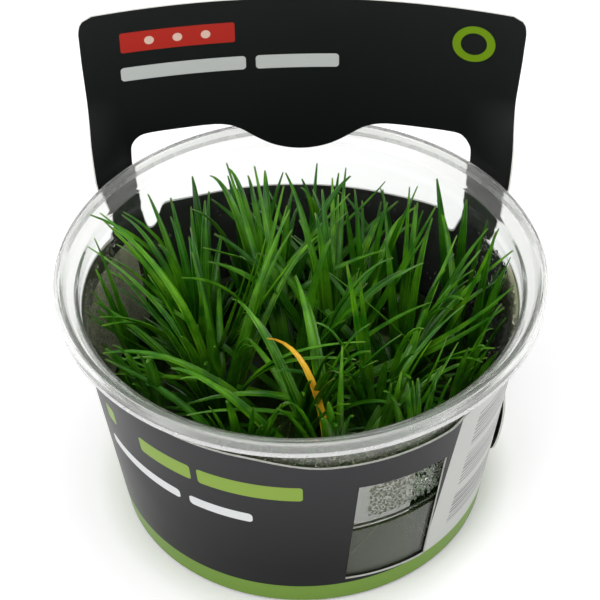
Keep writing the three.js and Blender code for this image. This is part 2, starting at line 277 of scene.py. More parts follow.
# Polypropylene, thermoformed from clear sheet: glossy, and milky where it is thick; a whiter copy
# paints highlights
plastics = {
    "clear": {
        "tint": "#f6f8f6",
        "clearness": 0.98,
        "refraction": 1.36,
        "gloss": (160, 3, 0.02, 0.08, 0.35, 0.7),
        "ripples": (45, 1, 0.12, 0.0006),
    },
    # The rolled rim is thick enough to look milky
    "rolled": {
        "tint": "#fcfdfb",
        "clearness": 0.91,
        "refraction": 1.49,
        "gloss": (120, 3, 0.04, 0.17),
        "ripples": (60, 1, 0.1, 0.0005),
    },
    # Where the gel wets the wall, only the small step between the two shows
    "wetted": {"tint": "#f6f8f6", "clearness": 1, "refraction": 1.02, "gloss": (70, 2, 0.02, 0.08)},
    # Painted highlight: a whiter, less clear copy that lights up the rim's lower edge and a thin
    # line along the gel's edge
    "paintedHighlight": {
        "tint": "#ffffff",
        "clearness": 0.5,
        "refraction": 1.49,
        "gloss": (300, 3, 0.15, 0.4),
    },
}
# Films of fine condensation on the wall: how the wall under each one blurs, roughens and glows
mists = {
    "densemist": {"clearness": 0.15, "blur": 0.55, "roughening": 0.5, "glow": 0.04},
    "lightmist": {"clearness": 0.94, "blur": 0.08, "roughening": 0.05, "glow": 0.7},
    "rimmist": {"clearness": 0.94, "blur": 0.3, "roughening": 0.05, "glow": 0.1},
}


def polypropylene(name, tint, clearness, refraction):
    return startMaterial(
        name + "Polypropylene",
        Base_Color=linear(tint),
        Transmission_Weight=clearness,
        IOR=refraction,
    )


def smoothPolypropylene(name):
    plastic = plastics[name]
    looks = (plastic[key] for key in ("tint", "clearness", "refraction"))
    material, tree, shader = polypropylene(name, *looks)
    place = addNode(tree, "TexCoord").outputs["Object"]
    patchyGloss(tree, shader, place, *plastic["gloss"])
    if "ripples" in plastic:
        ripples(tree, shader, place, *plastic["ripples"])
    return material


# The droplets of a mist are about 0.7 mm apart, and it passes some light on like frosted glass
def mistedPolypropylene(name):
    mist = mists[name]
    material, tree, shader = polypropylene(name, "#d3d4b4", mist["clearness"], 1.36)
    place = addNode(tree, "TexCoord").outputs["Object"]
    droplets = addNode(tree, "TexVoronoi", {"Vector": place, "Scale": 1400})
    patches = addNode(tree, "TexNoise", {"Vector": place, "Scale": 120, "Detail": 3})
    wet = addNode(tree, "Math", {0: droplets, 1: patches}, operation="MULTIPLY")
    span = {"From Max": 0.5, "To Min": 0.2 * mist["blur"], "To Max": mist["blur"]}
    rough = addNode(tree, "MapRange", {"Value": wet, **span})
    height = {"Strength": mist["roughening"], "Distance": 0.0002}
    bump = addNode(tree, "Bump", {"Height": droplets, **height})
    setInputs(shader, {"Roughness": rough, "Normal": bump})
    through = addNode(tree, "BsdfTranslucent", {"Color": linear("#cdd0ab")})
    lit = addNode(tree, "MixShader", {0: mist["glow"], 1: shader, 2: through})
    setInputs(tree.nodes["Material Output"], {"Surface": lit})
    return material


# The cup's finishes in the order of its material slots, the heights where one gives way to
# another, and where each mist lies on the inside: between two angles from the front towards the
# right, and between two heights
cupFinishes = {
    "slots": ["clear", "densemist", "rolled", "wetted", "lightmist", "paintedHighlight", "rimmist"],
    "heights": {
        "floor": 1.2,
        "gel": 23.5,
        "meniscus": 23.9,
        "window": 42,
        "fog": 46.5,
        "shoulder": 50.8,
    },
    "mist": [
        # The gel's edge behind the window gets the painted highlight
        ("paintedHighlight", 10, 33, "gel", "meniscus"),
        ("densemist", -124, -40, "meniscus", "fog"),
        ("rimmist", -136, -124, "meniscus", "window"),
        ("rimmist", -116, -50, "fog", "shoulder"),
        ("lightmist", 12, 32, "meniscus", "window"),
        ("rimmist", -50, 80, "window", "shoulder"),
        ("lightmist", -75, 100, "window", "shoulder"),
    ],
    # The window shows no reflections, outside over all its width and inside from the middle angle
    "window": (10, 31, 52),
    # The rim's lower edge, where the painted highlight goes:
    "highlightEdge": (49.8, 56.6),  # the rim's lower edge: out from this radius, and below this height
}


def cupFinish(face):
    x, y, z = face.center / mm
    facesIn = face.normal.x * x + face.normal.y * y < 0 or face.normal.z > 0.5
    front = math.degrees(math.atan2(x, -y))
    heights = cupFinishes["heights"]
    edgeR, edgeZ = cupFinishes["highlightEdge"]
    if z > cupShape["rolledAbove"]:
        # Painted highlight on the rim's lower edge
        return "paintedHighlight" if math.hypot(x, y) > edgeR and z < edgeZ else "rolled"
    if facesIn and heights["floor"] < z < heights["gel"]:
        return "wetted"
    left, bareFrom, right = cupFinishes["window"]
    if facesIn:
        left = bareFrom
    if left < front < right and heights["gel"] < z < heights["window"]:
        return "wetted"
    for name, left, right, low, high in cupFinishes["mist"]:
        if facesIn and left < front < right and heights[low] < z < heights[high]:
            return name
    return "clear"


def makeCup():
    skirtZ = cupShape["height"] - cupShape["rimDrop"]
    footR, rimR, shoulderZ, ledgeZ = (cupShape[k] for k in ("footR", "rimR", "shoulderZ", "ledgeZ"))
    footZ, floorZ, floorEdgeZ = (cupShape[k] for k in ("footZ", "floorZ", "floorEdgeZ"))
    heights = cupFinishes["heights"]
    # The walls have a ring of points at each height where their finish changes
    outerRings = [(cupOuterR(heights[k]), heights[k]) for k in ("gel", "window")]
    innerRings = [(cupInnerR(heights[k]), heights[k]) for k in ("fog", "window", "meniscus", "gel")]
    outside = [
        (0, footZ),
        (footR - 2.1, footZ),
        (footR - 1.4, 0),
        (footR, 0),
        (cupOuterR(footZ), footZ),
        *outerRings,
        (cupOuterR(shoulderZ), shoulderZ),
        (cupOuterR(shoulderZ) + 0.75, shoulderZ + 1.2),
        (46.5, skirtZ),
        (48.4, skirtZ + 0.8),
        (49.3, 58.3),
        (49.6, 58.6),
        (49.9, 58.3),
        (rimR - 0.6, skirtZ),
        (rimR, skirtZ),
        (rimR, cupFinishes["highlightEdge"][1]),
    ]
    inside = [
        (rimR, 58.5),
        (50.2, 59.1),
        (49.7, cupShape["height"]),
        (49.2, cupShape["height"] - 0.1),
        (48.7, 58.8),
        (47.9, ledgeZ + 0.8),
        (45.7, ledgeZ),
        (cupInnerR(shoulderZ) + 0.7, shoulderZ + 1.4),
        (cupInnerR(shoulderZ), shoulderZ),
        *innerRings,
        (cupInnerR(floorEdgeZ), floorEdgeZ),
        (cupInnerR(floorEdgeZ) - 0.5, 2.2),
        (footR - 2.2, floorZ),
        (0, floorZ),
    ]
    cup = turnedPiece("clearCup", roundCorners(outside + inside, 0.5), cupShape["steps"])
    smoothShading(cup, 50)
    slots = cupFinishes["slots"]
    makers = [mistedPolypropylene if name in mists else smoothPolypropylene for name in slots]
    materials = [make(name) for make, name in zip(makers, slots)]
    finishPiece(cup, materials, ["cup"])
    for face in cup.data.polygons:
        face.material_index = slots.index(cupFinish(face))


makeCup()
print("cup made")


# Nutrient gel, agar cast in the cup: cloudy olive, wet on top, with a soft meniscus at the wall
gelShape = {
    "top": 22.5,
    "meniscus": 0.9,
    "sink": 0.03,
    "shaded": (32, 60),  # angles from the front where the card shades the gel's wall
    # Against the cup the gel has no surface of its own: its walls bend no light and look cloudy
    "finishes": [
        # Painted shade: the top is tinted darker than the walls for the leaves' shade over it, and
        # the shaded copy is less cloudy, so darker, for the card's shade
        ("shadedAgarTop", "#46602a", 1.15, 0.85),
        ("agarAgainstCup", "#6f7f53", 1, 0.7),
        ("shadedAgar", "#6f7f53", 1, 0.86),
    ],
}


def nutrientAgar(name, tint, refraction, clearness):
    material, tree, shader = startMaterial(
        name,
        Base_Color=linear(tint),
        Transmission_Weight=clearness,
        IOR=refraction,
        Roughness=0.03,
    )
    ripples(tree, shader, addNode(tree, "TexCoord").outputs["Object"], 90, 2, 0.25, 0.001)
    return material


def makeGel():
    bottomZ = cupShape["floorZ"] - gelShape["sink"]
    top = gelShape["top"]
    edge = top + gelShape["meniscus"]
    floorEdgeZ = cupShape["floorEdgeZ"]
    profile = [
        (0, bottomZ),
        (cupShape["footR"] - 2.2, bottomZ),
        (cupInnerR(floorEdgeZ) - 0.5, 2.2),
        (cupInnerR(floorEdgeZ + 0.2), floorEdgeZ + 0.2),
        (cupInnerR(edge) + gelShape["sink"], edge),
        (cupInnerR(top) - 1.1, top + 0.15),
        (cupInnerR(top) - 3.5, top),
        (0, top),
    ]
    gel = turnedPiece("nutrientGel", roundCorners(profile, 0.6), cupShape["steps"])
    smoothShading(gel, 60)
    finishes = [nutrientAgar(*finish) for finish in gelShape["finishes"]]
    finishPiece(gel, finishes, ["agar_gel"])
    left, right = gelShape["shaded"]
    for face in gel.data.polygons:
        front = math.degrees(math.atan2(face.center.x, -face.center.y))
        # Painted shade: the stretch of wall the card shades gets the clearer, darker copy
        wall = 2 if left < front < right else 1
        face.material_index = 0 if face.normal.z > 0.5 else wall


makeGel()
print("gel made")


# Card sleeve. The card's own directions: across and up along the leaning header, to X and Z
def headerX(across, up):
    pivotZ = 10
    return across + (up - pivotZ) * sleeveShape["tilt"]


def headerZ(across, up):
    return up - across * sleeveShape["tilt"]


def legR(z):
    start, run = sleeveShape["legSpread"]
    return mix(cardInnerR(z), cupShape["rimR"] + 1, smooth((z - start) / run))


# The header's front face hugs the rim low down and flattens towards its top
def headerY(across, up):
    halfWidth, blend = 42, 0.8
    x = headerX(across, up)
    hug = math.sqrt(max(legR(headerZ(across, up)) ** 2 - x**2, 1))
    panel = sleeveShape["headerFrontY"] - sleeveShape["headerBow"] * (x / halfWidth) ** 2
    spread = max(blend - abs(panel - hug), 0) / blend
    near = min(panel, hug) - spread * spread * 0.1
    low = mix(hug, near, smooth((up - sleeveShape["legTop"]) / 6))
    start, run = sleeveShape["headerFlat"]
    return mix(low, panel, smooth((up - start) / run))


# How far up the band's top edge reaches, by angle from the front towards the right
def bandTopAt(front):
    fromLeg = 180 - sleeveShape["legAngle"] - abs(front)
    beside = (sleeveShape["legTop"] - sleeveShape["bandTop"]) * (1 - smooth(fromLeg / 20))
    depth, start, startRun, end, endRun = sleeveShape["dip"]
    dip = depth * smooth((front - start) / startRun) * (1 - smooth((front - end) / endRun))
    return sleeveShape["bandTop"] + beside - dip


# Height along the header, and its half width there
headerOutline = [
    (50, 41.4), (52, 42.7), (54, 43.6), (56, 44), (58.5, 44.3), (62, 44.6), (67, 45.1),
    (75, 45.6), (86, 46.1), (93.6, 46.3), (95.6, 45.9), (96.7, 45), (97.3, 43.4),
]


def halfWidthAt(up):
    for (low, lowWidth), (high, highWidth) in zip(headerOutline, headerOutline[1:]):
        if up <= high:
            return mix(lowWidth, highWidth, min(max((up - low) / (high - low), 0), 1))
    return headerOutline[-1][1]


def onBand(turn, level):
    fromBack = (turn + 180) % 360 - 180
    angle = math.radians(turn + sleeveShape["turn"])
    onLegs = abs(fromBack) <= sleeveShape["legAngle"] + 0.01
    edge = sleeveShape["legTop" if onLegs else "bandTop"]
    topZ = edge if onLegs else bandTopAt(180 - turn + sleeveShape["turn"])
    topZ -= sleeveR(edge) * math.sin(angle) * sleeveShape["tilt"]
    z = mix(sleeveShape["bottomZ"], topZ, level)
    r = legR(z) if onLegs else cardInnerR(z)
    return Vector((r * math.sin(angle), r * math.cos(angle), z)) * mm


def onHeader(share, level):
    foot = onBand(share * sleeveShape["legAngle"], 1)
    up = mix(sleeveShape["legTop"], sleeveShape["headerTop"], level)
    across = share * halfWidthAt(up)
    droop, start, run = sleeveShape["droop"]
    height = up - droop * share * share * smooth((up - start) / run)
    upper = Vector((headerX(across, height), headerY(across, height), headerZ(across, height))) * mm
    return foot.lerp(upper, min(max((up - sleeveShape["legTop"]) / 1.5, 0), 1))


# The loose end of the sleeve, an arc-cut tab that lifts off the band on the right side
lapTab = {
    "rooted": 118,
    "shortest": 106,
    "tip": 84,
    "middleZ": 13.5,
    "halfHeight": 12,
    "gap": 0.15,
    "lift": 2,
}


def onLap(along, level):
    end = mix(lapTab["shortest"], lapTab["tip"], math.sqrt(1 - level**4))
    front = math.radians(mix(lapTab["rooted"], end, along))
    z = lapTab["middleZ"] + level * lapTab["halfHeight"]
    lift = lapTab["lift"] * (1 - level * level) ** 0.6 * along**1.6
    r = cardInnerR(z) + lapTab["gap"] + lift
    return Vector((r * math.sin(front), -r * math.cos(front), z)) * mm


# A grid bent into place, whose normals point away from the cup's axis
def bentSheet(columns, rows, place):
    clearSelection()
    bpy.ops.mesh.primitive_grid_add(x_subdivisions=columns, y_subdivisions=rows, size=2)
    sheet = bpy.context.object
    for vertex in sheet.data.vertices:
        vertex.co = place(vertex.co.x, vertex.co.y)
    sheet.data.update()
    first = sheet.data.polygons[0]
    outwards = Vector((first.center.x, first.center.y, 0))
    if first.normal.dot(outwards) < 0:
        sheet.data.flip_normals()
    return sheet


# Outlines as [across, up]: half of the hand hole, from the tongue's tip to the band's top edge
handHole = [
    (0, 58.5), (3, 58.8), (5.8, 59.6), (8.2, 60.8), (10.6, 62.4), (12.8, 64), (15.2, 65.2),
    (18.8, 65.8), (26, 65.5), (33, 65.1), (35.3, 64.4), (36.7, 62.8), (37.1, 60.8), (37, 56),
    (36.2, 51), (34.9, 46.4), (34.2, 44.2), (33.3, 43.6), (32.4, 44.1), (31.8, 45.8),
    (31.2, 47), (30.2, 47.3), (27, 46.6), (22, 45.6), (15, 44.9), (8, 44.5), (0, 44.3),
]
windowShape = {
    "turn": 25,  # from the front towards the right
    "outline": [(-9.4, 39.4), (10.5, 38), (8.6, 5.6), (-10.1, 7.4)],
}


# A closed outline with its corners softened
def softOutline(points, steps=3):
    soft = []
    for i in range(len(points)):
        a, b, c, d = (Vector(points[(i + k) % len(points)]) for k in (-1, 0, 1, 2))
        for k in range(steps):
            t = k / steps
            curve = (2 * a - 5 * b + 4 * c - d) * t**2 + (3 * b - a - 3 * c + d) * t**3
            soft.append(0.5 * (2 * b + (c - a) * t + curve))
    return soft


# A flat outline pushed through the card along Y, then turned about the axis
def cutter(outline, fromY, depth, turn):
    corners = [(x * mm, fromY * mm, z * mm) for x, z in outline]
    piece = pieceFrom("cutter", corners, [range(len(outline))])
    pick(piece)
    bpy.ops.object.mode_set(mode="EDIT")
    bpy.ops.mesh.select_all(action="SELECT")
    bpy.ops.mesh.extrude_region_move(TRANSFORM_OT_translate={"value": (0, depth * mm, 0)})
    turnFacesOut()
    piece.data.transform(Matrix.Rotation(math.radians(turn), 4, "Z"))
    return piece


# The last material, the bare board, goes on what the tool cuts
def cutOut(piece, tool, materials):
    for material in materials:
        tool.data.materials.append(material)
    for face in tool.data.polygons:
        face.material_index = len(materials) - 1
    applyModifier(piece, "BOOLEAN", operation="DIFFERENCE", object=tool, solver="EXACT")
    bpy.data.objects.remove(tool, do_unlink=True)


printBlur = 0.04  # half the width of a print edge's softness, in millimetres


# Print: a rounded bar in the card's print directions, as a mask from 0 to 1
def printedBar(tree, position, left, right, low, high, corner):
    middle = ((left + right) / 2, (low + high) / 2, 0)
    reach = ((right - left) / 2 - corner, (high - low) / 2 - corner, 1)
    moved = addNode(tree, "VectorMath", {0: position, 1: middle}, operation="SUBTRACT")
    folded = addNode(tree, "VectorMath", {0: moved}, operation="ABSOLUTE")
    beyond = addNode(tree, "VectorMath", {0: folded, 1: reach}, operation="SUBTRACT")
    outer = addNode(tree, "VectorMath", {0: beyond, 1: (0, 0, 0)}, operation="MAXIMUM")
    distance = addNode(tree, "VectorMath", {0: outer}, operation="LENGTH").outputs["Value"]
    edge = {"From Min": corner + printBlur, "From Max": corner - printBlur}
    return addNode(tree, "MapRange", {"Value": distance, **edge})


def printedDisc(tree, position, x, y, r):
    return printedBar(tree, position, x - r, x + r, y - r, y + r, r - 0.01)


def either(tree, masks):
    total = masks[0]
    for mask in masks[1:]:
        total = addNode(tree, "Math", {0: total, 1: mask}, operation="MAXIMUM")
    return total


# A row of bars, as spans along the row
def barRow(tree, position, spans, heights, corner, scale=1):
    bars = [(a * scale, b * scale, *heights, corner) for a, b in spans]
    return either(tree, [printedBar(tree, position, *bar) for bar in bars])


def inked(tree, paper, ink, mask):
    layer = addNode(tree, "Mix", {"Factor": mask, "A": paper, "B": ink}, data_type="RGBA")
    return layer.outputs["Result"]


# Inks laid one over another, each as a tint and its mask
def overprinted(tree, paper, inks):
    for tint, mask in inks:
        paper = inked(tree, paper, linear(tint), mask)
    return paper


# Object coordinates, and the same in millimetres as three sockets
def millimetres(tree):
    place = addNode(tree, "TexCoord").outputs["Object"]
    scaled = addNode(tree, "VectorMath", {0: place, "Scale": 1000}, operation="SCALE")
    apart = addNode(tree, "SeparateXYZ", {0: scaled})
    return place, apart.outputs["X"], apart.outputs["Y"], apart.outputs["Z"]


# Satin varnish over the ink, with the faint fibre of the board under it
def varnish(tree, shader, place, roughness):
    ripples(tree, shader, place, 1400, 3, 0.08, 0.0001)
    patchyGloss(tree, shader, place, 30, 2, roughness - 0.05, roughness + 0.05, 0.3, 0.7)


# The header's print, in millimetres of X and Z
headerPrint = {
    "badge": (-36.2, -12.3, 87.2, 92.1),
    "badgeDots": (-30.2, -24.3, -18.4),
    "name": [(-36.6, -10.2), (-8.1, 9.6)],
    "nameHeights": (80.1, 83.5),
    "ring": (37.7, 87.5),
    "ringR": (4.4, 2.7),
}


# Coated carton board, printed black on the face that shows as the header's front
def insidePrint():
    material, tree, shader = startMaterial("printedBoardInside", Specular_IOR_Level=0.22)
    place, x, y, z = millimetres(tree)
    flat = addNode(tree, "CombineXYZ", {"X": x, "Y": z})
    cloud = addNode(tree, "TexNoise", {"Vector": place, "Scale": 18, "Detail": 3})
    ink = inked(tree, linear("#0b0f0e"), linear("#151a18"), cloud)
    badge = printedBar(tree, flat, *headerPrint["badge"], 0.5)
    middle = sum(headerPrint["badge"][2:]) / 2
    dots = either(tree, [printedDisc(tree, flat, x, middle, 1) for x in headerPrint["badgeDots"]])
    words = barRow(tree, flat, headerPrint["name"], headerPrint["nameHeights"], 0.8)
    disc, hole = (printedDisc(tree, flat, *headerPrint["ring"], r) for r in headerPrint["ringR"])
    ring = addNode(tree, "Math", {0: disc, 1: hole}, operation="SUBTRACT")
    inks = [("#b52a20", badge), ("#e6c4b4", dots), ("#c9cdca", words), ("#6f9408", ring)]
    # Below the header it is the plain olive-grey inside of the band
    onHeader = addNode(tree, "MapRange", {"Value": z, "From Min": 50, "From Max": 53})
    colour = inked(tree, linear("#15170f"), overprinted(tree, ink, inks), onHeader)
    setInputs(shader, {"Base Color": colour})
    varnish(tree, shader, place, 0.5)
    return material


# The band's print: angles from the front towards the right, and heights along the card
bandPrint = {
    "radius": 43,  # where millimetres along the print are measured
    "greenTop": 6,
    "title": [(-62.6, -58.2), (-47.2, -30.6), (-28.6, -1.2)],
    "titleHeights": (36.8, 41.2),
    "name": [(-64, -35.5), (-32.5, -14.5)],
    "nameHeights": (28, 30.8),
    "panel": (36.4, 112),  # its left edge, at the next height, and its right edge
    "panelFrom": 6.1,
    "panelSlant": 0.137,
    "lines": (10, 46),  # first and last height of the fine print
    "margins": (8, 14),  # of the fine print, left and right
    "pitch": 1.15,
    "block": 12,
    # Painted shade: the band's ink is darkest below the first height and lightens up to the second
    "fadeAndShade": (12, 48),  # the ink is paler from the first height to the second
}


def outsidePrint():
    material, tree, shader = startMaterial("printedBoardOutside", Specular_IOR_Level=0.1)
    place, x, y, z = millimetres(tree)
    ahead = addNode(tree, "Math", {0: y, 1: -1}, operation="MULTIPLY")
    angle = addNode(tree, "Math", {0: x, 1: ahead}, operation="ARCTAN2")
    front = addNode(tree, "Math", {0: angle, 1: 180 / math.pi}, operation="MULTIPLY")
    up = addNode(tree, "Math", {0: x, 1: sleeveShape["tilt"], 2: z}, operation="MULTIPLY_ADD")
    around = math.radians(bandPrint["radius"])
    along = addNode(tree, "Math", {0: front, 1: around}, operation="MULTIPLY")
    position = addNode(tree, "CombineXYZ", {"X": along, "Y": up})
    low, high = bandPrint["fadeAndShade"]
    level = addNode(tree, "MapRange", {"Value": z, "From Min": low, "From Max": high})
    # Painted shade: the band's dark ink is darker low down and lighter towards the top
    ink = inked(tree, linear("#060709"), linear("#313133"), level)
    title = barRow(tree, position, bandPrint["title"], bandPrint["titleHeights"], 0.7, around)
    words = barRow(tree, position, bandPrint["name"], bandPrint["nameHeights"], 0.9, around)
    # The information panel leans with the window's side
    slope = bandPrint["panelSlant"]
    slant = addNode(tree, "Math", {0: z, 1: -slope, 2: front}, operation="MULTIPLY_ADD")
    straight = addNode(tree, "Math", {0: slant, 1: around}, operation="MULTIPLY")
    onPanel = addNode(tree, "CombineXYZ", {"X": straight, "Y": up})
    left, right = bandPrint["panel"]
    left -= bandPrint["panelFrom"] * slope
    panel = barRow(tree, onPanel, [(left, right)], (0, 60), 0.1, around)
    # Fine print in blocks of thin lines, each line of its own thickness
    row = addNode(tree, "Math", {0: up, 1: bandPrint["pitch"]}, operation="DIVIDE")
    rowNumber = addNode(tree, "Math", {0: row}, operation="FLOOR")
    chance = addNode(tree, "TexWhiteNoise", {"W": rowNumber}, noise_dimensions="1D")
    share = addNode(tree, "Math", {0: row}, operation="FRACT")
    thin = addNode(tree, "MapRange", {"Value": chance, "To Min": 0.3, "To Max": 0.75})
    inLine = addNode(tree, "Math", {0: share, 1: thin}, operation="LESS_THAN")
    blockRow = addNode(tree, "Math", {0: up, 1: bandPrint["block"]}, operation="DIVIDE")
    blockShare = addNode(tree, "Math", {0: blockRow}, operation="FRACT")
    inBlock = addNode(tree, "Math", {0: blockShare, 1: 0.8}, operation="LESS_THAN")
    kept = addNode(tree, "Math", {0: inLine, 1: inBlock}, operation="MULTIPLY")
    leftMargin, rightMargin = bandPrint["margins"]
    inset = (left + leftMargin, right - rightMargin)
    across = barRow(tree, onPanel, [inset], bandPrint["lines"], 0.1, around)
    lines = addNode(tree, "Math", {0: across, 1: kept}, operation="MULTIPLY")
    edge = bandPrint["greenTop"]
    span = {"From Min": edge + printBlur, "From Max": edge - printBlur}
    green = addNode(tree, "MapRange", {"Value": z, **span})
    # The back of the header is plain dark board
    behind = addNode(tree, "MapRange", {"Value": z, "From Min": 49.6, "From Max": 51})
    inks = [("#84a03f", title), ("#d6d8d8", words), ("#bcbdb9", panel), ("#7e7f80", lines)]
    inks += [("#6d8f35", green), ("#1b1f1e", behind)]
    setInputs(shader, {"Base Color": overprinted(tree, ink, inks)})
    varnish(tree, shader, place, 0.33)
    return material


# Raw edge of the die-cut board: white core, slightly fuzzy
def cutBoard():
    material, tree, shader = startMaterial("cutBoardEdge", Roughness=0.8)
    place = addNode(tree, "TexCoord").outputs["Object"]
    fuzz = addNode(tree, "TexNoise", {"Vector": place, "Scale": 900, "Detail": 2})
    setInputs(shader, {"Base Color": inked(tree, linear("#c9c9c2"), linear("#efefea"), fuzz)})
    return material


def makeSleeve():
    perDegree = 2 / 3
    legAngle = sleeveShape["legAngle"]
    band = bentSheet(
        round(360 * perDegree),
        24,
        lambda a, b: onBand(mix(-legAngle, 360 - legAngle, (a + 1) / 2), (b + 1) / 2),
    )
    header = bentSheet(round(2 * legAngle * perDegree), 48, lambda a, b: onHeader(a, (b + 1) / 2))
    pick(band)
    header.select_set(True)
    bpy.ops.object.join()
    sleeve = bpy.context.object
    sleeve.name = "cardSleeve"
    bpy.ops.object.mode_set(mode="EDIT")
    bpy.ops.mesh.select_all(action="SELECT")
    bpy.ops.mesh.remove_doubles(threshold=0.02 * mm)
    bpy.ops.object.mode_set(mode="OBJECT")
    lap = bentSheet(16, 20, lambda a, b: onLap((a + 1) / 2, b))
    materials = [outsidePrint(), insidePrint(), cutBoard()]
    for sheet in (sleeve, lap):
        sheet.data.materials.clear()
        for material in materials:
            sheet.data.materials.append(material)
        applyModifier(
            sheet,
            "SOLIDIFY",
            thickness=sleeveShape["thickness"] * mm,
            offset=1,
            use_even_offset=False,
            material_offset_rim=2,
        )
    left = [(-across, up) for across, up in reversed(handHole[1:-1])]
    hole = [(headerX(a, u), headerZ(a, u)) for a, u in softOutline(handHole + left)]
    cutOut(sleeve, cutter(hole, fromY=20, depth=40, turn=0), materials)
    window = cutter(windowShape["outline"], fromY=-55, depth=30, turn=windowShape["turn"])
    cutOut(sleeve, window, materials)
    pick(sleeve)
    lap.select_set(True)
    bpy.ops.object.join()
    for face in sleeve.data.polygons:
        if face.material_index == 2:  # cut edges stay bare board
            continue
        above = face.center.z > sleeveShape["headerFrom"] * mm
        outwards = Vector((0, 1, 0)) if above else Vector((face.center.x, face.center.y, 0))
        face.material_index = 0 if face.normal.dot(outwards) > 0 else 1
    smoothShading(sleeve, 30)
    indices = [face.material_index for face in sleeve.data.polygons]
    finishPiece(sleeve, materials, ["sleeve_card"])
    for face, index in zip(sleeve.data.polygons, indices):
        face.material_index = index


makeSleeve()
print("sleeve made")


